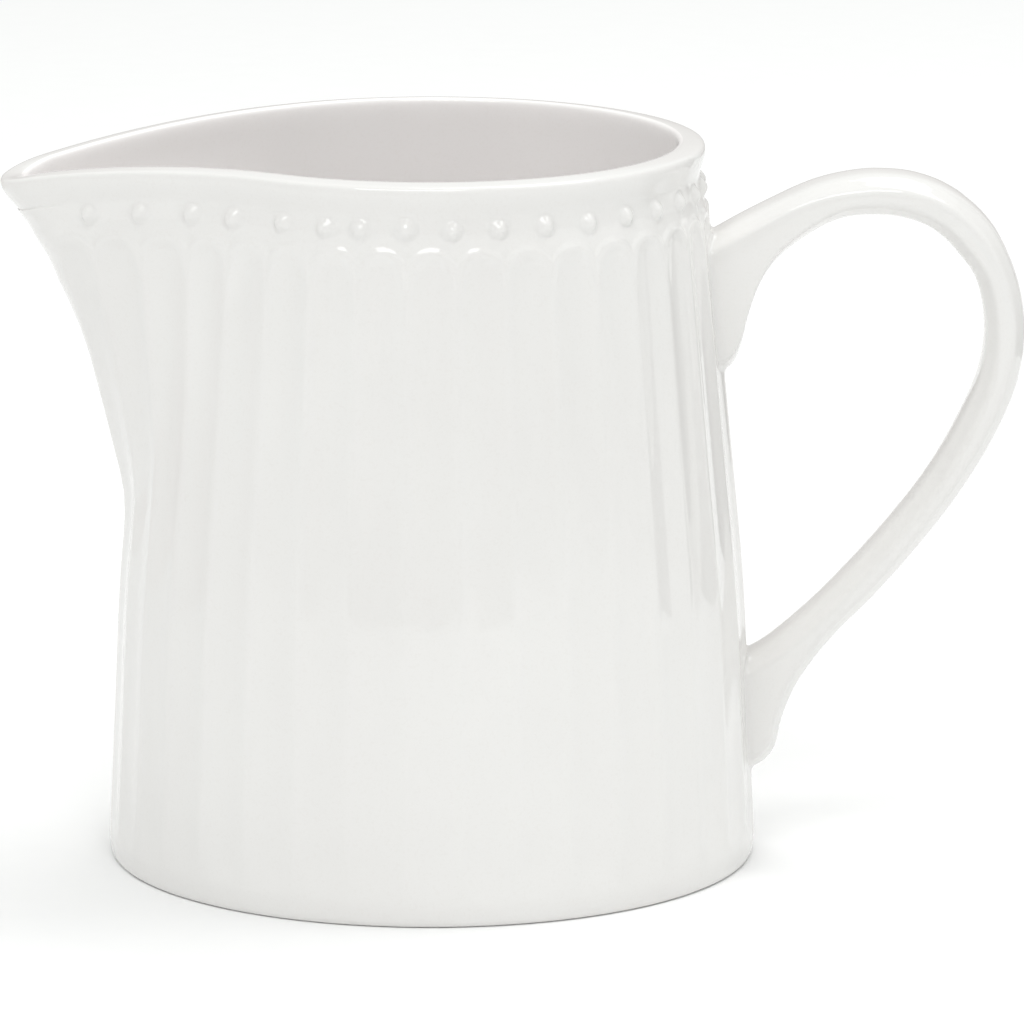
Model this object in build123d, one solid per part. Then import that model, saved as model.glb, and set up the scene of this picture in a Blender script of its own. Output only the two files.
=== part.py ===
from build123d import *
from math import acos, cos, pi, sin, sqrt
import os

# Porcelain cream jug: a slip-cast fluted body with a pouring spout, and a strap handle that is
# stuck on with two pads of slip.  Millimetres, +Z up.  The origin is the centre of the foot, on
# the surface that the jug stands on.  The spout points along -X and the handle along +X.

# ---- driving dimensions -------------------------------------------------------------------
HEIGHT = 95.0              # foot to the top of the lip
BASE_RADIUS = 42.6         # widest place of the wall, just above the foot
BASE_EDGE = 0.8            # rounding of the foot's outer edge
WALL = 3.2
FLOOR_TOP = 5.0
FLOOR_FILLET = 6.0         # inside corner between floor and wall
FOOT_RADIUS = 38.5         # inner radius of the unglazed foot ring
FOOT_RECESS = 1.4

LIP_RADIUS = 35.6          # outside of the rolled lip, on the round part
LIP_THICKNESS = 3.4
LIP_HEIGHT = 4.2
LIP_ROUND = 1.4            # rounding of the lip's two top edges
BAND_RADIUS = 35.0         # ground of the bead band under the lip
BAND_DROP = 8.3            # lip top down to the upper ends of the flutes

SPOUT_REACH = 56.0         # axis to the tip of the spout
DIP_START = 20.0           # the lip is level up to here, then falls towards the tip
DIP_RADIUS = 130.0

FLUTES = 36
BEADS = 34                 # the two ridges beside the keel have none
FLUTE_DEPTH = 0.6
FLUTE_FOOT = 3.0           # the flutes fade in above this height
FLUTE_FULL = 8.0           # and have their whole depth from here up
BEAD_RADIUS = 1.2
BEAD_SINK = 0.35           # how far a bead's middle lies behind the band's ground
BEAD_DROP = 6.1            # lip top down to the middle of a bead
FLANK_STEP = 14.5          # flutes are even up to this ridge, counted from the handle
KEEL_STEP = 17.5           # the last ridge before the keel
FLANK_SHARE = 0.45         # share of the spout's extra girth that widens the flutes between

HANDLE_WIDTH = 11.6
HANDLE_BEVEL = 1.7
SLIP = 0.5                 # thickness of the slip between handle and wall
SLIP_MARGIN = 1.0          # how far the slip shows round each root

# Round wall from the foot up: radius over the flutes' ridges, height.
PROFILE = [(42.6, 3.0), (41.05, 37.0), (39.55, 53.0), (38.0, 70.0), (36.3, 88.0)]

# Spout from where it leaves the round wall: height, reach of its keel from the axis, and radius
# of the keel seen from above.
SPOUT = [(46.0, 40.35, 30.0), (54.0, 41.6, 20.0), (62.0, 43.6, 18.0), (70.0, 45.8, 17.0),
         (78.0, 49.1, 15.0), (88.0, 54.8, 11.0)]

# Sides of the handle in the plane Y = 0: its outside from the upper root to the heel, and its
# inside from the lower root to the tip of the upper root's tongue.
HANDLE_OUTSIDE = [(35.0, 81.4), (42.3, 85.5), (48.8, 88.7), (55.0, 90.3), (61.5, 90.3), (67.5, 88.2),
                  (72.5, 84.2), (75.8, 78.5), (77.4, 71.0), (76.7, 64.0), (73.8, 56.2),
                  (69.1, 48.3), (63.2, 40.6), (57.4, 33.7), (51.9, 27.9), (48.2, 22.5),
                  (46.2, 17.5), (45.0, 13.7), (43.0, 11.7), (39.5, 11.0)]
HANDLE_INSIDE = [(38.5, 25.6), (41.6, 26.6), (44.6, 28.6), (51.5, 34.8), (57.4, 41.2), (62.7, 47.8),
                 (67.0, 54.3), (70.6, 61.5), (72.2, 67.3), (72.4, 71.8), (71.4, 76.6),
                 (68.5, 81.2), (64.3, 84.3), (58.8, 85.4), (53.0, 84.7), (48.0, 82.2),
                 (44.6, 78.9), (42.4, 75.0), (41.2, 71.0), (40.3, 67.4), (38.9, 65.0),
                 (36.5, 63.0)]


def table(rows, z, column):
    """Value of a column at height z, in a table whose rows start with the height."""
    for low, high in zip(rows, rows[1:]):
        if z <= high[0]:
            break
    part = (z - low[0]) / (high[0] - low[0])
    return low[column] + (high[column] - low[column]) * part


def wall_radius(z):
    """Radius of the round wall over the ridges at height z."""
    return table([(height, radius) for radius, height in PROFILE], z, 1)


def teardrop(radius, reach, tip):
    """Outline of wall and spout seen from above, as a function of the way along it.

    The outline is two circles and their common tangents.  The way starts at 0 behind the
    handle, is in millimetres and grows towards the keel along +Y; the function gives the
    point and the outward direction there.  The half length of the outline is also given.
    """
    turn = acos((radius - tip) / (reach - tip))
    on_wall = (pi - turn) * radius
    on_flank = sqrt((reach - tip) ** 2 - (radius - tip) ** 2)
    half = on_wall + on_flank + turn * tip

    def at(way):
        side = 1 if way >= 0 else -1
        way = abs(way)
        if way <= on_wall:
            angle, share = way / radius, 0
        elif way <= on_wall + on_flank:
            angle, share = pi - turn, (way - on_wall) / on_flank
        else:
            angle, share = pi - turn + (way - on_wall - on_flank) / tip, 1
        centre = share * (tip - reach)
        size = radius + share * (tip - radius)
        out = (cos(angle), side * sin(angle))
        return (centre + size * out[0], size * out[1]), out

    return at, half


def at_height(z):
    """Outline over the ridges at height z, and its half length and its ridge spacing."""
    radius = wall_radius(z)
    if z < SPOUT[0][0]:
        at, half = teardrop(radius, radius, radius / 2)
    else:
        at, half = teardrop(radius, table(SPOUT, z, 1), table(SPOUT, z, 2))
    return at, half, 2 * pi * radius / FLUTES


def clamp(value):
    return max(0.0, min(1.0, value))


def way_to(step, half, pitch):
    """Way along an outline to a flute or ridge.

    Steps are counted from the flute behind the handle, number 0, to the keel, number 18, so
    ridges lie at the half numbers.  On the round wall they are one pitch apart, and on the
    spout they share its extra girth.
    """
    extra = half - FLUTES / 2 * pitch
    flank = clamp((abs(step) - FLANK_STEP) / (KEEL_STEP - FLANK_STEP))
    keel = clamp((abs(step) - KEEL_STEP) / (FLUTES / 2 - KEEL_STEP))
    spread = FLANK_SHARE * flank + (1 - FLANK_SHARE) * keel
    return (1 if step >= 0 else -1) * (abs(step) * pitch + extra * spread)


def fluted_face(z, depth):
    """Section of the outer wall: one arc for each flute, from ridge to ridge."""
    at, half, pitch = at_height(z)
    keel_depth = depth * (1 - clamp(half / pitch - FLUTES / 2))
    count = FLUTES // 2
    edges = []
    for step in range(1 - count, count + 1):
        (x0, y0), _ = at(way_to(step - 0.5, half, pitch))
        (x1, y1), out = at(way_to(step, half, pitch))
        (x2, y2), _ = at(way_to(step + 0.5 if step < count else 0.5 - count, half, pitch))
        sink = keel_depth if step == count else depth
        middle = (x1 - sink * out[0], y1 - sink * out[1], z)
        edges.append(ThreePointArc((x0, y0, z), middle, (x2, y2, z)))
    return make_face(Wire(edges))


def plain_face(radius, reach, tip, z):
    """Section made of the wall's arc, two straight flanks and the keel's arc."""
    turn = acos((radius - tip) / (reach - tip))
    c, s = cos(turn), sin(turn)
    wall = [(-radius * c, side * radius * s, z) for side in (1, -1)]
    keel = [(tip - reach - tip * c, side * tip * s, z) for side in (1, -1)]
    return make_face(Wire([
        ThreePointArc(wall[1], (radius, 0, z), wall[0]),
        Line(wall[0], keel[0]),
        ThreePointArc(keel[0], (-reach, 0, z), keel[1]),
        Line(keel[1], wall[1]),
    ]))


def dip(x):
    """How far the lip's top line has fallen at x."""
    run = max(0.0, -DIP_START - x)
    return DIP_RADIUS - sqrt(DIP_RADIUS**2 - run**2)


def rim_slab(top_drop, bottom_drop):
    """Space between two copies of the lip's top line, right across the jug."""
    far = 90.0

    def line(drop):
        middle = -(far + DIP_START) / 2
        return [(x, 0, HEIGHT - drop - dip(x)) for x in (far, -DIP_START, middle, -far)]

    top, bottom = line(top_drop), line(bottom_drop)
    face = make_face(Wire([
        Line(top[0], top[1]), ThreePointArc(*top[1:]), Line(top[3], bottom[3]),
        ThreePointArc(*reversed(bottom[1:])), Line(bottom[1], bottom[0]), Line(bottom[0], top[0]),
    ]))
    return extrude(face, amount=far, both=True)


def collar(radius, grow):
    """Column past the bead band and the lip, which leans out under the tip like the keel.

    The flanks stand upright at their radius, and the keel is that much further out than the
    spout's own.
    """
    rows = [(z, reach + grow, tip) for z, reach, tip in SPOUT[-2:]]
    top = (HEIGHT + 1, *rows[-1][1:])
    return loft([plain_face(radius, reach, tip, z) for z, reach, tip in [*rows, top]], ruled=True)


def revolved(corners):
    """Solid of revolution from (radius, z) corners, closed through the axis."""
    points = [(0, corners[0][1]), *corners, (0, corners[-1][1])]
    face = make_face(Polyline(*[(r, 0, z) for r, z in points], close=True))
    return revolve(face, Axis.Z, 360)


def rounded_floor(solid, radius):
    """The same solid with its lowest circle rounded."""
    edge = solid.edges().filter_by(GeomType.CIRCLE).sort_by(Axis.Z)[0]
    return fillet(edge, radius)


def beads():
    """One bead above each ridge but the two beside the keel, half sunk in the band."""
    at, half = teardrop(BAND_RADIUS, *SPOUT[-1][1:])
    pitch = 2 * pi * BAND_RADIUS / FLUTES
    made = []
    for number in range(BEADS):
        (x, y), out = at(way_to(number - BEADS / 2 + 0.5, half, pitch))
        place = (x - BEAD_SINK * out[0], y - BEAD_SINK * out[1], HEIGHT - BEAD_DROP - dip(x))
        made.append(Plane(origin=place, z_dir=(*out, 0)) * Sphere(BEAD_RADIUS))
    return made


def outer_solid():
    """Outside of the jug, filled in."""
    foot = rounded_floor(revolved([(BASE_RADIUS, 0), (BASE_RADIUS, FLUTE_FOOT)]), BASE_EDGE)
    heights = [FLUTE_FULL, 20.0, 37.0] + [row[0] for row in SPOUT]
    sections = [fluted_face(FLUTE_FOOT, 0)] + [fluted_face(z, FLUTE_DEPTH) for z in heights]
    fluted = (foot + loft(sections)) & rim_slab(BAND_DROP, 2 * HEIGHT)
    band = collar(BAND_RADIUS, 0) & rim_slab(LIP_HEIGHT, BAND_DROP)
    lip = collar(LIP_RADIUS, SPOUT_REACH - SPOUT[-1][1]) & rim_slab(0, LIP_HEIGHT)
    return fluted + band + lip + beads()


def inner_solid():
    """Hollow of the jug, open upwards past the lip."""
    start = SPOUT[0][0]
    lower = revolved([(wall_radius(z) - WALL, z) for z in (FLOOR_TOP, 37.0, start)])
    mouth = (LIP_RADIUS - LIP_THICKNESS, SPOUT_REACH - LIP_THICKNESS, SPOUT[-1][2] - LIP_THICKNESS)
    sections = [plain_face(wall_radius(z) - WALL, reach - WALL, tip - WALL, z)
                for z, reach, tip in SPOUT[:-1]]
    top = SPOUT[-1][0]
    sections.append(plain_face(*mouth, top))
    upper = loft(sections) + extrude(sections[-1], amount=HEIGHT + 1 - top, dir=(0, 0, 1))
    return rounded_floor(lower, FLOOR_FILLET) + upper


def jug_body():
    """Wall, floor, foot ring, spout, lip, flutes and beads: one casting."""
    body = outer_solid() - inner_solid()
    rim = body.edges().filter_by_position(Axis.Z, HEIGHT - dip(-SPOUT_REACH) - 0.5, HEIGHT + 0.01)
    rim = [edge for edge in rim if abs(edge.center().Z - HEIGHT + dip(edge.center().X)) < 0.2]
    body = fillet(rim, LIP_ROUND)
    return body - Pos(0, 0, FOOT_RECESS / 2) * Cylinder(FOOT_RADIUS, FOOT_RECESS)


def wall_cone(grow):
    """Round wall over the ridges, grown outwards by that much."""
    return revolved([(wall_radius(z) + grow, z) for z in (FLUTE_FOOT, 37.0, 53.0, 70.0, 88.0)])


def handle():
    """Bevelled strap, cut to the wall so that each root stands on its slip."""
    sides = [Spline(*[(x, 0, z) for x, z in side]) for side in (HANDLE_OUTSIDE, HANDLE_INSIDE)]
    ends = [Line(sides[0] @ 1, sides[1] @ 0), Line(sides[1] @ 1, sides[0] @ 0)]
    face = make_face(Wire([sides[0], ends[0], sides[1], ends[1]]))
    strap = extrude(Pos(0, -HANDLE_WIDTH / 2, 0) * face, amount=HANDLE_WIDTH, dir=(0, 1, 0))
    long_edges = [edge for edge in strap.edges() if edge.length > HEIGHT]
    strap = fillet(long_edges, HANDLE_BEVEL)
    return strap - wall_cone(SLIP)


def slip_pad(root, body):
    """Layer of slip between the wall and a root's faces, a little wider than the root."""
    low = min(face.bounding_box().min.Z for face in root) - SLIP_MARGIN
    high = max(face.bounding_box().max.Z for face in root) + SLIP_MARGIN
    width = HANDLE_WIDTH + 2 * SLIP_MARGIN
    outline = Plane.YZ * RectangleRounded(width, high - low, width / 2 - SLIP_MARGIN)
    column = extrude(Pos(BASE_RADIUS / 2, 0, (low + high) / 2) * outline, amount=BASE_RADIUS)
    return (column & wall_cone(SLIP)) - wall_cone(-WALL / 2) - body


os.makedirs("parts", exist_ok=True)
body = jug_body()
strap = handle()
roots = strap.faces().filter_by(GeomType.CONE)
parts = {
    "jug_body": body,
    "handle": strap,
    "upper_handle_slip": slip_pad([face for face in roots if face.center().Z > HEIGHT / 2], body),
    "lower_handle_slip": slip_pad([face for face in roots if face.center().Z < HEIGHT / 2], body),
}
for name, part in parts.items():
    export_step(part, f"parts/{name}.step")
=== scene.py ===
import math

import bpy
import numpy as np
from mathutils import Matrix, Vector


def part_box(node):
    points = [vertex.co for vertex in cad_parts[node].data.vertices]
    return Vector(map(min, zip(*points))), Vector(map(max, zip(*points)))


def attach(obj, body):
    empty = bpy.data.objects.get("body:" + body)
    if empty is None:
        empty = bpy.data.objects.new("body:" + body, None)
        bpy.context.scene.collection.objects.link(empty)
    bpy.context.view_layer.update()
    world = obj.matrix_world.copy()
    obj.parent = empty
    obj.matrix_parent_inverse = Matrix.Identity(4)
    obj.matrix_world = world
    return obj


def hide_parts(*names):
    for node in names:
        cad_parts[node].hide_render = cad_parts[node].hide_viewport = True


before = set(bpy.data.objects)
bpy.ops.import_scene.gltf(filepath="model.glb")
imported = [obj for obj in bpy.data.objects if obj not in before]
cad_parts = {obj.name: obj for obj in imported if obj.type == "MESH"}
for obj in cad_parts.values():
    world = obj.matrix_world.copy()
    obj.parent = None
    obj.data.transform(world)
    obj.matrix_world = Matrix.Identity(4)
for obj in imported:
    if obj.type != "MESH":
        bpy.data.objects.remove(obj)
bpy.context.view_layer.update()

# Porcelain cream jug: fluted casting with a bead band, a pouring spout and a bevelled strap handle
# that is stuck on with slip.  Shapes are worked out in millimetres in the frame's axes and scaled
# to metres when a mesh is made.
MM = 0.001

# ---- jug body ---------------------------------------------------------------------------------
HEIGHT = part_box("jug_body")[1].z / MM      # foot to the top of the lip
WALL = 3.4
FLOOR_TOP = 5.0
FLOOR_FILLET = 6.0

FLUTES = 36
FLUTE_DEPTH = 0.5
RIDGE_SOFTNESS = 0.22          # rounding of a ridge, as a share of half a flute
FLUTE_FOOT, FLUTE_FULL = 2.5, 7.5  # heights between which the flutes fade in above the foot
FLUTE_LOW = 0.6                # share of the depth that is left in the lower wall
FADE_FROM, FADE_END = 72.0, 15.0   # heights between which that share is reached
FLANK_STEP, KEEL_STEP = 14.5, 17.5  # last even ridge, and the last one before the keel
FLANK_SHARE = 0.45             # share of the spout's extra girth that lies between those two

# The lip is level on the round part and falls along an arc towards the tip of the spout.
RIM = (33.9, 54.3, 8.9)        # middle line of the lip: radius, reach of the tip, radius of the tip
DIP_START, DIP_RADIUS = 20.0, 130.0
DIP_FROM, DIP_WHOLE = 48.0, 83.0   # heights between which the wall starts to follow the lip down

# Depths below the lip's top line.
NECK = 4.3
BEAD_ROW = 5.85
BEAD_END = 7.4
ARCH_TOP = 8.3
ARCH_END = 15.0
ARCH_RISE, ARCH_WIDTH = 1.8, 6.245
BEAD_SIZE, BEAD_HEIGHT = 1.45, 0.9
BEADS_PER_SIDE = 17
BAND_SINK, BAND_RUN_OUT = -0.96, 0.5   # ground of the band, and how much it rises to the arches
TIP_FROM, TIP_WHOLE = 16.6, 17.6       # steps between which the relief calms down for the tip
ARCH_EDGE = -0.18              # raised edge of an arch, from the envelope
TIP_BAND = 0.45                # share of the band's sink that is left round the tip of the spout

# Envelope over the ridges: height and radius of the round wall.
WALL_LINE = [(0.0, 42.8), (20.7, 41.85), (37.1, 41.05), (53.6, 39.5), (70.1, 37.9),
             (86.5, 36.35), (95.0, 35.6)]
# Spout: height, how far the keel stands out past the round wall, and the keel's radius in plan.
KEEL_LINE = [(45.0, 0.0, 30.0), (50.0, 0.85, 25.0), (54.0, 2.25, 20.0), (62.0, 5.05, 18.0),
             (70.0, 8.05, 17.0), (76.0, 11.1, 15.5), (80.0, 13.4, 14.2), (84.0, 16.35, 13.0),
             (88.9, 19.9, 11.0), (91.0, 20.35, 10.6)]
# Foot in section, from its recessed middle over the ring to the outer edge: radius and height.
FOOT_LINE = [(8.0, 1.7), (16.0, 1.65), (24.0, 1.6), (31.0, 1.5), (35.0, 1.42), (37.2, 1.4),
             (37.9, 1.38), (38.3, 1.2), (38.5, 0.9), (38.6, 0.45), (38.8, 0.15), (39.1, 0.02),
             (39.5, 0.0), (40.6, 0.0), (41.6, 0.0), (41.95, 0.04), (42.2, 0.17), (42.38, 0.4),
             (42.5, 0.8), (42.56, 1.5)]
# Lip in section, from the neck over the top to the inside: depth and place from the envelope.
LIP_LINE = [(4.3, -0.96), (4.0, -0.92), (3.6, -0.78), (3.1, -0.58), (2.6, -0.38), (2.1, -0.2),
            (1.7, -0.08), (1.4, -0.01), (1.1, 0.0), (0.8, -0.03), (0.6, -0.1), (0.43, -0.22),
            (0.31, -0.42), (0.23, -0.75), (0.14, -1.3), (0.06, -1.9), (0.0, -2.5), (0.0, -2.85),
            (0.08, -3.15), (0.25, -3.35), (0.55, -3.47), (1.0, -3.53), (1.8, -3.55), (3.0, -3.5)]
LIP_INSIDE = 2.9               # the inside glaze, a lighter and pinker copy with painted light and shade, starts this far in from the envelope
RING = (38.7, 41.9)            # unglazed foot ring, inner and outer radius
# Material slots: outside glaze; inside glaze, made lighter and pinker as painted light and painted
# shade; bare foot ring.
GLAZED, INSIDE_PAINTED_SHADE, BARE = range(3)

# ---- handle -------------------------------------------------------------------------------------
HANDLE_HALF_WIDTH = 5.8
HANDLE_FLAT = 3.2              # half width of the flat top and bottom
HANDLE_BEVEL = 1.5
CORNER_CUT = 0.7
HANDLE_CROWN = 0.15
# Pairs of points across the strap in the plane y = 0, outside and inside of the loop, from the
# tongue of the upper root round to the heel of the lower one.
HANDLE_PAIRS = [
    ((35.0, 81.6), (35.0, 64.0)), ((38.0, 83.3), (38.8, 65.2)), ((40.5, 84.7), (40.25, 67.6)),
    ((42.8, 85.9), (41.1, 71.4)), ((45.0, 87.0), (42.5, 75.7)), ((47.5, 88.2), (44.9, 79.4)),
    ((50.3, 89.3), (48.6, 82.5)), ((54.0, 90.2), (53.2, 84.9)), ((58.4, 90.6), (58.4, 85.4)),
    ((62.7, 90.2), (61.6, 85.0)), ((66.8, 88.8), (64.5, 84.0)), ((70.4, 86.4), (66.9, 82.3)),
    ((73.3, 83.3), (69.0, 80.0)), ((75.3, 79.6), (70.9, 77.4)), ((76.7, 75.6), (71.9, 74.5)),
    ((77.4, 71.4), (72.4, 71.2)), ((77.3, 67.2), (72.4, 67.7)), ((76.5, 63.0), (71.8, 64.3)),
    ((73.3, 55.3), (69.0, 57.5)), ((69.0, 48.1), (65.1, 50.6)), ((63.9, 41.3), (60.3, 44.2)),
    ((58.4, 34.9), (54.9, 38.0)), ((52.5, 28.8), (49.1, 32.1)), ((49.8, 25.4), (45.9, 29.3)),
    ((47.5, 21.7), (43.1, 27.2)), ((46.0, 17.8), (40.9, 26.1)), ((45.0, 13.8), (39.3, 25.7)),
    ((43.0, 11.8), (38.0, 25.4)), ((39.5, 11.0), (36.5, 25.2)),
]
HANDLE_ROWS = 150
ROOT_ROWS = 50                 # rows at either end in which the strap leaves the wall
SLIP_RISE = 0.7                # how far the slip climbs the handle
SLIP_SPREAD = 1.0              # and how far it spreads on the wall

# ---- view and light -------------------------------------------------------------------------------
CAMERA_PLACE = (0.0, -1088.05, 280.79)
CAMERA_TILT, CAMERA_PAN, CAMERA_ROLL = 0.2132, 0.0097, 0.0008
SENSOR = 36.0
LENS = 297.72
SURROUND = 0.68                # brightness of the surround
SURROUND_TINT = (0.985, 1.0, 0.985)
CARD_TINT = (1.0, 0.96, 0.94)
FLOOR_SIZE = 1.25
FLOOR_GAP = 0.00002            # keeps the floor from sharing a plane with the foot ring


def curve(rows):
    """Smooth curve through rows of (place, value, ...); returns a function of the place."""
    table = np.array(rows, float)
    knots, values = table[:, 0], table[:, 1:]
    slopes = np.gradient(values, knots, axis=0)

    def at(place):
        place = np.clip(place, knots[0], knots[-1])
        left = np.clip(np.searchsorted(knots, place, "right") - 1, 0, len(knots) - 2)
        gap = (knots[left + 1] - knots[left])[..., None]
        s = (place - knots[left])[..., None] / gap
        return ((1 + 2 * s) * (1 - s) ** 2 * values[left] + s * (1 - s) ** 2 * gap * slopes[left]
                + s**2 * (3 - 2 * s) * values[left + 1] - s**2 * (1 - s) * gap * slopes[left + 1])

    return at


def ramp(value, start, end):
    """Smooth step from 0 at start to 1 at end."""
    t = np.clip((value - start) / (end - start), 0, 1)
    return t * t * (3 - 2 * t)


def mix(a, b, share):
    return a + (b - a) * share


wall_line, keel_line = curve(WALL_LINE), curve(KEEL_LINE)


def envelope(z):
    """Radius of the round wall, reach of the keel and the keel's radius in plan at heights z."""
    radius = wall_line(z)[..., 0]
    out, tip = np.moveaxis(keel_line(z), -1, 0)
    return radius, radius + np.maximum(out, 0), tip


def way_to(steps, half, pitch):
    """Way along the outline to a step, counted from the flute behind the handle to the keel.

    Ridges lie at the half numbers.  On the round wall they are one pitch apart, and on the spout
    they share its extra girth.
    """
    extra = half - FLUTES / 2 * pitch
    flank = np.clip((steps - FLANK_STEP) / (KEEL_STEP - FLANK_STEP), 0, 1)
    keel = np.clip((steps - KEEL_STEP) / (FLUTES / 2 - KEEL_STEP), 0, 1)
    return steps * pitch + extra * (FLANK_SHARE * flank + (1 - FLANK_SHARE) * keel)


def lay_out(sizes, steps):
    """Place on the outline for each step: middle and radius of its arc, angle, way and share.

    The outline is two circles and their common tangents.
    """
    radius, reach, tip = sizes
    turn = np.arccos((radius - tip) / (reach - tip))
    on_wall = (math.pi - turn) * radius
    on_flank = np.sqrt((reach - tip) ** 2 - (radius - tip) ** 2)
    half = on_wall + on_flank + turn * tip
    way = way_to(steps, half, 2 * math.pi * radius / FLUTES)
    share = np.clip((way - on_wall) / np.maximum(on_flank, 1e-6), 0, 1)
    angle = np.where(way <= on_wall, way / radius,
                     math.pi - turn + np.maximum(way - on_wall - on_flank, 0) / tip)
    return share * (tip - reach), mix(radius, tip, share), angle, way


def outline(z, steps, push):
    """Points at height z on the outline, pushed outwards; the sign of a step is its side."""
    middle, size, angle, _ = lay_out(envelope(z), np.abs(steps))
    x = middle + (size + push) * np.cos(angle)
    y = np.sign(steps) * (size + push) * np.sin(angle)
    return np.stack([x, y, z], -1)


def rim_drop(steps):
    """How far the lip's top line has fallen at each step."""
    middle, size, angle, _ = lay_out([np.full(steps.shape, value) for value in RIM], steps)
    run = np.maximum(0, -DIP_START - middle - size * np.cos(angle))
    return DIP_RADIUS - np.sqrt(DIP_RADIUS**2 - run**2)


def body_columns():
    """Steps of the mesh columns: closer at each ridge and bead, and round the tip of the keel."""
    side = []
    for ridge in range(BEADS_PER_SIDE):
        t = np.linspace(-0.5, 0.5, 15, endpoint=False)
        side.append(ridge + 0.5 + 0.5 * t + 2 * t**3)
    side.append(np.linspace(BEADS_PER_SIDE, KEEL_STEP, 7, endpoint=False))
    side.append(np.linspace(KEEL_STEP, FLUTES / 2, 18, endpoint=False))
    side = np.concatenate(side)
    return np.concatenate([side, [FLUTES / 2], -side[:0:-1]])


def across(steps):
    """Place across a flute, from -0.5 to 0.5; the keel is one wide ridge."""
    return np.where(steps > KEEL_STEP, 0.5, steps - np.round(steps))


def flute(steps, extra_pitches):
    """Hollow of a flute between two softly rounded ridges, for full depth."""
    edge = 1 - 2 * np.abs(steps - np.round(steps))
    softened = np.sqrt(edge**2 + RIDGE_SOFTNESS**2) - RIDGE_SOFTNESS
    softened /= math.sqrt(1 + RIDGE_SOFTNESS**2) - RIDGE_SOFTNESS
    depth = FLUTE_DEPTH * np.where(steps > KEEL_STEP, 1 - np.clip(extra_pitches, 0, 1), 1)
    return -depth * (1 - (1 - softened) ** 2)


def extra_girth(z):
    """Girth of the spout beyond the round wall's, in pitches for each side."""
    sizes = envelope(z)
    _, _, _, way = lay_out(sizes, np.full(z.shape, FLUTES / 2))
    return way / (2 * math.pi * sizes[0] / FLUTES) - FLUTES / 2


def fluted(z, steps):
    """Fluted wall, from the envelope: the flutes get shallower down the wall and end at the foot."""
    depth = mix(FLUTE_LOW, 1, ramp(z, FADE_END, FADE_FROM)) * ramp(z, FLUTE_FOOT, FLUTE_FULL)
    return flute(steps, extra_girth(z)) * depth


def bead_places():
    """Step, size and height of each bead on one side, slightly uneven like hand-finished ones."""
    rng = np.random.default_rng(5)
    steps = np.arange(BEADS_PER_SIDE) + 0.5
    steps += 0.08 * np.exp(-((steps - 7.5) / 2) ** 2) - 0.33 * np.exp(-((steps - 12) / 0.9) ** 2)
    return steps, rng.uniform(0.92, 1.08, BEADS_PER_SIDE), rng.uniform(-0.1, 0.1, BEADS_PER_SIDE)


def beads(z, steps, depth):
    """Height of the bead domes over the band, by depth below the lip."""
    places, sizes, offsets = bead_places()
    number = np.clip(np.floor(steps), 0, BEADS_PER_SIDE - 1).astype(int)
    sizes_at = envelope(z)
    _, _, _, here = lay_out(sizes_at, steps)
    _, _, _, middle = lay_out(sizes_at, places[number])
    radius = BEAD_SIZE * sizes[number]
    away = np.hypot(here - middle, depth - BEAD_ROW - offsets[number]) / radius
    return BEAD_HEIGHT * np.clip(1 - away**2, 0, 1) ** 1.4


def arch_drop(steps):
    """How far an arch has fallen below its top, and the cosine of its slope there."""
    half_width = ARCH_WIDTH / 2
    span = (half_width**2 + ARCH_RISE**2) / (2 * ARCH_RISE)
    reach = across(steps) * ARCH_WIDTH
    return span - np.sqrt(np.maximum(span**2 - reach**2, 0.01)), np.sqrt(1 - (reach / span) ** 2)


def band_ground(depth, steps):
    """Ground of the bead band, from the envelope: it runs out towards the arches."""
    sink = BAND_SINK + BAND_RUN_OUT * ramp(depth, BEAD_ROW + 0.35, ARCH_TOP + 0.4)
    return sink * mix(1, TIP_BAND, ramp(steps, TIP_FROM, TIP_WHOLE))


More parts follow.
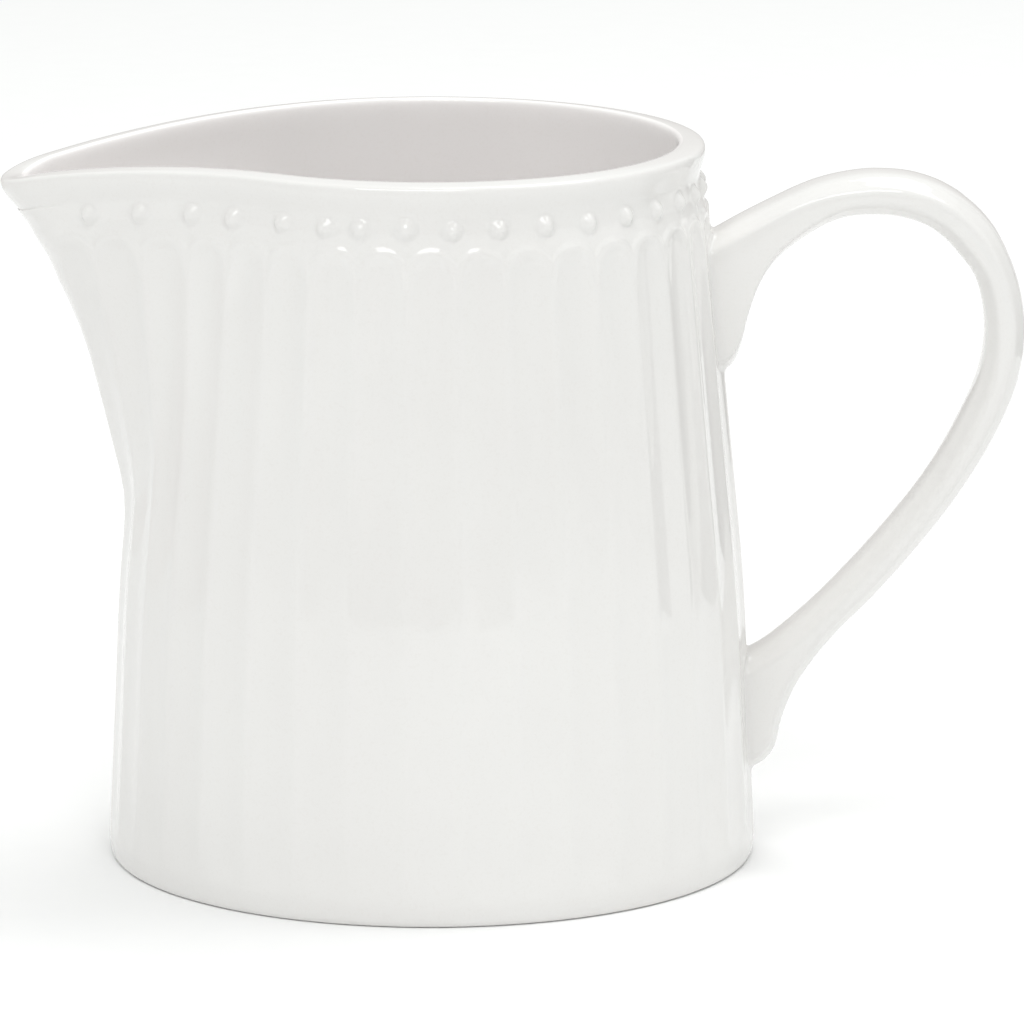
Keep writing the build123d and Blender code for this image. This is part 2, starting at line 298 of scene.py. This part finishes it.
def body_rows(columns):
    """Height, push and surface of every mesh row, from the middle of the foot up, over and inside."""
    steps = np.abs(columns)
    level = np.ones_like(steps)
    drop = rim_drop(steps)
    rows = []

    def add(nominal, push, surface=GLAZED):
        z = nominal - drop * ramp(nominal, DIP_FROM, DIP_WHOLE)
        rows.append((z, push, surface))

    for radius, z in FOOT_LINE:
        surface = BARE if RING[0] < radius < RING[1] else GLAZED
        add(z * level, (radius - wall_line(np.array(z))[0]) * level, surface)

    for nominal in np.concatenate([np.linspace(2.7, 9.0, 9), np.geomspace(10.0, 78.5, 36)]):
        z = nominal * level
        add(z, fluted(z - drop * ramp(z, DIP_FROM, DIP_WHOLE), steps))

    fallen, lean = arch_drop(steps)
    for depth in np.concatenate([np.linspace(ARCH_END, 11.0, 6), np.linspace(10.5, BEAD_END, 20)]):
        follow = ramp(depth, BEAD_END - 0.4, ARCH_TOP - 0.3) * (1 - ramp(depth, 10.5, ARCH_END))
        own = depth + fallen * follow
        nominal = HEIGHT - own
        below = (own - ARCH_TOP - fallen) * lean
        hollow = fluted(nominal - drop, steps)
        field = mix(ARCH_EDGE, hollow, ramp(below, 0.4, 2.2))
        soft = np.where(steps > KEEL_STEP, 2.0, 1.0)
        add(nominal, mix(band_ground(own, steps), field, ramp(below, -0.5 * soft, 0.35 * soft)))

    for depth in np.linspace(BEAD_END - 0.12, NECK + 0.15, 18):
        nominal = (HEIGHT - depth) * level
        add(nominal, band_ground(depth, steps) + beads(nominal - drop, steps, depth))

    for depth, push in LIP_LINE:
        tip = mix(1, 0.65, ramp(steps, TIP_FROM, TIP_WHOLE)) if push > -1 and depth > 1 else 1
        # Rows past the lip's inner edge take the inside glaze with its painted light and shade.
        surface = INSIDE_PAINTED_SHADE if push < -LIP_INSIDE else GLAZED
        add((HEIGHT - depth) * level, push * tip * level, surface)

    for nominal in np.linspace(HEIGHT - 5.0, FLOOR_TOP + FLOOR_FILLET, 24):
        add(nominal * level, -WALL * level, INSIDE_PAINTED_SHADE)

    corner = float(wall_line(np.array(FLOOR_TOP + FLOOR_FILLET))[0]) - WALL - FLOOR_FILLET
    for turn in np.linspace(0, math.pi / 2, 7)[1:]:
        radius = corner + FLOOR_FILLET * math.cos(turn)
        z = FLOOR_TOP + FLOOR_FILLET * (1 - math.sin(turn))
        add(z * level, (radius - float(wall_line(np.array(z))[0])) * level, INSIDE_PAINTED_SHADE)
    for radius in (corner * 0.8, corner * 0.6, corner * 0.4, corner * 0.2):
        add(FLOOR_TOP * level, (radius - float(wall_line(np.array(FLOOR_TOP))[0])) * level, INSIDE_PAINTED_SHADE)
    return rows


def make_object(name, points, faces, material):
    """Smooth-shaded mesh object from points in millimetres."""
    mesh = bpy.data.meshes.new(name)
    mesh.from_pydata((np.asarray(points) * MM).tolist(), [], faces)
    mesh.shade_smooth()
    mesh.set_sharp_from_angle(angle=math.radians(40))
    mesh.validate()
    made = bpy.data.objects.new(name, mesh)
    bpy.context.scene.collection.objects.link(made)
    mesh.materials.append(material)
    return made


def skin(rows, columns, closed_rows=False):
    """Quads of a grid whose columns close into rings."""
    index = np.arange(rows * columns).reshape(rows, columns)
    if closed_rows:
        index = np.vstack([index, index[:1]])
    side = np.roll(index, -1, axis=1)
    return np.stack([index[:-1], side[:-1], side[1:], index[1:]], -1).reshape(-1, 4).tolist()


def fan(ring, pole, flip):
    """Triangles from a ring of point numbers to a pole."""
    pairs = zip(ring, np.roll(ring, -1))
    return [[int(b), int(a), pole] if flip else [int(a), int(b), pole] for a, b in pairs]


def jug_body(glazed, inside, bare):
    """The casting as one closed skin, with the inside in a lighter, pinker copy of the glaze that
    carries painted light and painted shade, and the foot ring in its own material.
    """
    columns = body_columns()
    rows = body_rows(columns)
    grid = np.concatenate([outline(z, columns, push) for z, push, _ in rows])
    count, width = len(rows), len(columns)
    points = np.vstack([grid, [(0, 0, rows[0][0][0])], [(0, 0, FLOOR_TOP)]])
    faces = skin(count, width)
    faces += fan(np.arange(width), count * width, True)
    faces += fan(np.arange(width) + (count - 1) * width, count * width + 1, False)
    made = make_object("jug_body_glazed", points, faces, glazed)
    made.data.materials.append(inside)
    made.data.materials.append(bare)
    surfaces = [surface for _, _, surface in rows]
    by_face = np.repeat(surfaces[1:] + [surfaces[0], surfaces[-1]], width)
    made.data.polygons.foreach_set("material_index", by_face)
    return made


def rounded_section(half):
    """Section of the strap: chamfered rectangle with eased corners, as (across, wide) points."""
    wide, flat = HANDLE_HALF_WIDTH, HANDLE_FLAT
    shoulder = half - HANDLE_BEVEL
    corners = np.array([(half, -flat), (half, flat), (shoulder, wide), (-shoulder, wide),
                        (-half, flat), (-half, -flat), (-shoulder, -wide), (shoulder, -wide)])
    loop = []
    for before, corner, after in zip(np.roll(corners, 1, 0), corners, np.roll(corners, -1, 0)):
        start, end = [corner + (other - corner) / np.linalg.norm(other - corner) * CORNER_CUT
                      for other in (before, after)]
        for t in np.linspace(0, 1, 5):
            loop.append((1 - t) ** 2 * start + 2 * t * (1 - t) * corner + t**2 * end)
        far = after + (corner - after) / np.linalg.norm(after - corner) * CORNER_CUT
        loop += [mix(end, far, t) for t in (0.25, 0.5, 0.75)]
    loop = np.array(loop)
    crown = HANDLE_CROWN * np.clip(1 - (loop[:, 1] / flat) ** 2, 0, 1)
    loop[:, 0] += np.sign(loop[:, 0]) * crown * (np.abs(loop[:, 0]) > half - 1e-6)
    return loop


def handle_rows():
    """Sections of the strap from the upper root to the lower one, as an array of points."""
    pairs = np.array(HANDLE_PAIRS)
    middle = pairs.mean(1)
    way = np.concatenate([[0], np.cumsum(np.linalg.norm(np.diff(middle, axis=0), axis=1))])
    line = curve(np.column_stack([way, pairs.reshape(-1, 4)]))
    sections = []
    for ox, oz, ix, iz in line(np.linspace(0, way[-1], HANDLE_ROWS)):
        outer, inner = np.array((ox, oz)), np.array((ix, iz))
        centre, half = (outer + inner) / 2, np.linalg.norm(outer - inner) / 2
        loop = rounded_section(half)
        flat = centre + loop[:, :1] * (outer - inner) / (2 * half)
        sections.append(np.column_stack([flat[:, 0], loop[:, 1], flat[:, 1]]))
    return np.array(sections)


def handle(sections, material):
    """Strap skinned over its sections, closed at both ends inside the wall."""
    rows, columns = sections.shape[:2]
    points = np.vstack([sections.reshape(-1, 3), sections[0].mean(0), sections[-1].mean(0)])
    faces = skin(rows, columns)
    faces += fan(np.arange(columns), rows * columns, True)
    faces += fan(np.arange(columns) + (rows - 1) * columns, rows * columns + 1, False)
    return make_object("handle_strap", points, faces, material)


def on_wall(around, z, lift):
    """Point on the round wall near the handle, by girth from y = 0 and height."""
    radius = wall_line(z)[..., 0]
    steps = around / (2 * math.pi * radius / FLUTES)
    push = flute(np.abs(steps), np.zeros_like(z)) + lift
    return np.column_stack([(radius + push) * np.cos(around / radius),
                            (radius + push) * np.sin(around / radius), z])


def crossing(lines, lift):
    """Where each long line of the strap leaves the wall, raised by lift."""
    radius = np.hypot(lines[..., 0], lines[..., 1])
    wall = wall_line(lines[..., 2])[..., 0] + lift
    steps = np.arctan2(lines[..., 1], lines[..., 0]) * FLUTES / (2 * math.pi)
    gap = radius - wall - flute(np.abs(steps), np.zeros_like(radius))
    places = []
    for column in range(lines.shape[1]):
        row = int(np.argmax(gap[:, column] > 0))
        before, after = gap[row - 1, column], gap[row, column]
        places.append(mix(lines[row - 1, column], lines[row, column], before / (before - after)))
    return np.array(places)


def slip_fillet(name, lines, material):
    """Slip in the corner between a root of the strap and the wall: a closed ring."""
    foot, top = crossing(lines, 0.0), crossing(lines, SLIP_RISE)
    around = np.arctan2(foot[:, 1], foot[:, 0]) * np.hypot(foot[:, 0], foot[:, 1])
    print_loop = np.column_stack([around, foot[:, 2]])
    tangent = np.roll(print_loop, -2, 0) - np.roll(print_loop, 2, 0)
    normal = np.column_stack([tangent[:, 1], -tangent[:, 0]])
    normal /= np.linalg.norm(normal, axis=1)[:, None]
    outward = np.sign(((print_loop - print_loop.mean(0)) * normal).sum())
    spread = print_loop + outward * normal * SLIP_SPREAD
    edge = on_wall(spread[:, 0], spread[:, 1], 0.0)
    middle = foot.mean(0)
    rings = [(1 - t) ** 2 * top + 2 * t * (1 - t) * foot + t**2 * edge
             for t in np.linspace(0, 1, 9)]
    rings.append(on_wall(spread[:, 0], spread[:, 1], -0.8))
    rings.append(mix(foot, middle, 0.12) * (0.97, 1, 1))
    rings.append(mix(top, middle, 0.12))
    rings = np.array(rings)
    faces = skin(*rings.shape[:2], closed_rows=True)
    return make_object(name, rings.reshape(-1, 3), faces, material)


def glaze(name, shade, light, gloss_range=(0.015, 0.045), ripple_height=0.00006):
    """White porcelain: a faint drift of tone, fine specks, uneven gloss and soft ripples."""
    material = bpy.data.materials.new(name)
    material.use_nodes = True
    nodes, links = material.node_tree.nodes, material.node_tree.links
    shader = nodes["Principled BSDF"]
    shader.inputs["IOR"].default_value = 1.52
    place = nodes.new("ShaderNodeTexCoord")

    def noise(scale, detail):
        made = nodes.new("ShaderNodeTexNoise")
        made.inputs["Scale"].default_value = scale
        made.inputs["Detail"].default_value = detail
        links.new(place.outputs["Object"], made.inputs["Vector"])
        return made

    def blend(low, high, start, end, source):
        made = nodes.new("ShaderNodeValToRGB")
        made.color_ramp.elements[0].position = start
        made.color_ramp.elements[0].color = (*low, 1)
        made.color_ramp.elements[1].position = end
        made.color_ramp.elements[1].color = (*high, 1)
        links.new(source, made.inputs["Fac"])
        return made

    drift = noise(28, 2)
    tone = blend(shade, light, 0.35, 0.65, drift.outputs["Fac"])
    specks = noise(2600, 1)
    spots = blend((0.986, 0.983, 0.98), (1, 1, 1), 0.3, 0.45, specks.outputs["Fac"])
    tinted = nodes.new("ShaderNodeMix")
    tinted.data_type = "RGBA"
    tinted.blend_type = "MULTIPLY"
    tinted.inputs["Factor"].default_value = 1
    links.new(tone.outputs["Color"], tinted.inputs["A"])
    links.new(spots.outputs["Color"], tinted.inputs["B"])
    links.new(tinted.outputs["Result"], shader.inputs["Base Color"])

    gloss = nodes.new("ShaderNodeMapRange")
    gloss.inputs["To Min"].default_value, gloss.inputs["To Max"].default_value = gloss_range
    links.new(noise(60, 3).outputs["Fac"], gloss.inputs["Value"])
    links.new(gloss.outputs["Result"], shader.inputs["Roughness"])

    ripple = nodes.new("ShaderNodeBump")
    ripple.inputs["Strength"].default_value = 0.25
    ripple.inputs["Distance"].default_value = ripple_height
    links.new(noise(260, 2).outputs["Fac"], ripple.inputs["Height"])
    links.new(ripple.outputs["Normal"], shader.inputs["Normal"])
    return material


def pale_floor():
    """Wide pale floor, plain but for a very faint grain."""
    material = bpy.data.materials.new("pale_floor")
    material.use_nodes = True
    nodes, links = material.node_tree.nodes, material.node_tree.links
    shader = nodes["Principled BSDF"]
    shader.inputs["Roughness"].default_value = 0.9
    shader.inputs["Specular IOR Level"].default_value = 0
    grain = nodes.new("ShaderNodeTexNoise")
    grain.inputs["Scale"].default_value = 400
    tone = nodes.new("ShaderNodeValToRGB")
    tone.color_ramp.elements[0].color = (0.94, 0.94, 0.94, 1)
    tone.color_ramp.elements[1].color = (0.96, 0.96, 0.96, 1)
    links.new(grain.outputs["Fac"], tone.inputs["Fac"])
    links.new(tone.outputs["Color"], shader.inputs["Base Color"])
    mesh = bpy.data.meshes.new("floor")
    turns = np.linspace(0, 2 * math.pi, 96, endpoint=False)
    ring = [(FLOOR_SIZE * math.cos(turn), FLOOR_SIZE * math.sin(turn), -FLOOR_GAP)
            for turn in turns]
    mesh.from_pydata(ring, [], [list(range(len(ring)))])
    mesh.materials.append(material)
    floor = bpy.data.objects.new("floor", mesh)
    bpy.context.scene.collection.objects.link(floor)


def softbox(name, place, size, radiance):
    """Rectangular area light aimed at the jug, with the given radiance."""
    data = bpy.data.lights.new(name, "AREA")
    data.shape = "RECTANGLE"
    data.size, data.size_y = size
    data.energy = radiance * math.pi * size[0] * size[1]
    light = bpy.data.objects.new(name, data)
    bpy.context.scene.collection.objects.link(light)
    place = Vector(place)
    aim = Vector((0, 0, HEIGHT / 2 * MM)) - place
    light.location = place
    light.rotation_euler = aim.to_track_quat("-Z", "Y").to_euler()


def card(name, start, end, distance, bottom, top, brightness):
    """Upright curved card round part of the table, which only shows as a reflection in the glaze."""
    material = bpy.data.materials.new(name)
    material.use_nodes = True
    shader = material.node_tree.nodes["Principled BSDF"]
    shader.inputs["Base Color"].default_value = (0, 0, 0, 1)
    shader.inputs["Specular IOR Level"].default_value = 0
    shader.inputs["Emission Color"].default_value = (*[brightness * value for value in CARD_TINT], 1)
    shader.inputs["Emission Strength"].default_value = 1
    turns = np.radians(np.linspace(start, end, 24))
    ring = np.column_stack([np.sin(turns), -np.cos(turns)]) * distance
    points = [(x, y, z) for z in (bottom, top) for x, y in ring]
    count = len(ring)
    faces = [(i, i + 1, i + 1 + count, i + count) for i in range(count - 1)]
    mesh = bpy.data.meshes.new(name)
    mesh.from_pydata(points, [], faces)
    mesh.materials.append(material)
    made = bpy.data.objects.new(name, mesh)
    bpy.context.scene.collection.objects.link(made)
    made.visible_camera = False
    made.visible_diffuse = False
    made.visible_shadow = False


def studio():
    """Pale surround, two softboxes from above, and dim cards that draw the streaks in the glaze."""
    world = bpy.data.worlds.new("studio")
    world.use_nodes = True
    background = world.node_tree.nodes["Background"]
    background.inputs["Color"].default_value = (*SURROUND_TINT, 1)
    background.inputs["Strength"].default_value = SURROUND
    bpy.context.scene.world = world
    softbox("overhead_right", (0.4, 0.3, 1.2), (1.15, 0.5), 3.2)
    softbox("front_top", (-0.15, -0.75, 1.2), (0.9, 0.5), 4.4)
    card("back_card", 150, 210, 0.7, 0.0, 0.35, 0.6)
    card("right_card", 97, 137, 0.29, 0.0, 0.3, 0.3)
    card("left_card", -150, -85, 0.32, 0.0, 0.3, 0.9)
    card("front_card", -35, 25, 0.65, 0.0, 0.12, 0.55)
    bpy.context.scene.view_settings.view_transform = "Standard"


def camera():
    """Long lens at the height of a person seated at the table, at the photograph's angle."""
    tilt, pan, roll = CAMERA_TILT, CAMERA_PAN, CAMERA_ROLL
    forward = Vector((math.sin(pan) * math.cos(tilt), math.cos(pan) * math.cos(tilt),
                      -math.sin(tilt)))
    level = forward.cross(Vector((0, 0, 1))).normalized()
    above = level.cross(forward)
    right = level * math.cos(roll) + above * math.sin(roll)
    up = above * math.cos(roll) - level * math.sin(roll)
    data = bpy.data.cameras.new("camera")
    data.sensor_width = SENSOR
    data.lens = LENS
    data.clip_start, data.clip_end = 0.05, 20
    made = bpy.data.objects.new("camera", data)
    bpy.context.scene.collection.objects.link(made)
    turn = Matrix((right, up, -forward)).transposed().to_4x4()
    made.matrix_world = Matrix.Translation(Vector(CAMERA_PLACE) * MM) @ turn
    bpy.context.scene.camera = made


camera()
studio()
pale_floor()
white = glaze("white_porcelain_glaze", (0.8, 0.79, 0.776), (0.818, 0.81, 0.796))
# Inside: the white glaze made lighter and pinker than outside, painted light that lifts the shaded
# inside and a painted pink tint of shade.
inside = glaze("white_porcelain_inside_painted_shade", (0.925, 0.9, 0.893), (0.945, 0.922, 0.915))
bare = glaze("unglazed_foot_ring", (0.74, 0.71, 0.67), (0.8, 0.775, 0.74), (0.55, 0.75), 0.0002)
sections = handle_rows()
pieces = {
    "jug_body": jug_body(white, inside, bare),
    "handle": handle(sections, white),
    "upper_handle_slip": slip_fillet("upper_slip_fillet", sections[:ROOT_ROWS], white),
    "lower_handle_slip": slip_fillet("lower_slip_fillet", sections[::-1][:ROOT_ROWS], white),
}
for node, piece in pieces.items():
    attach(piece, "root")
    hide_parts(node)
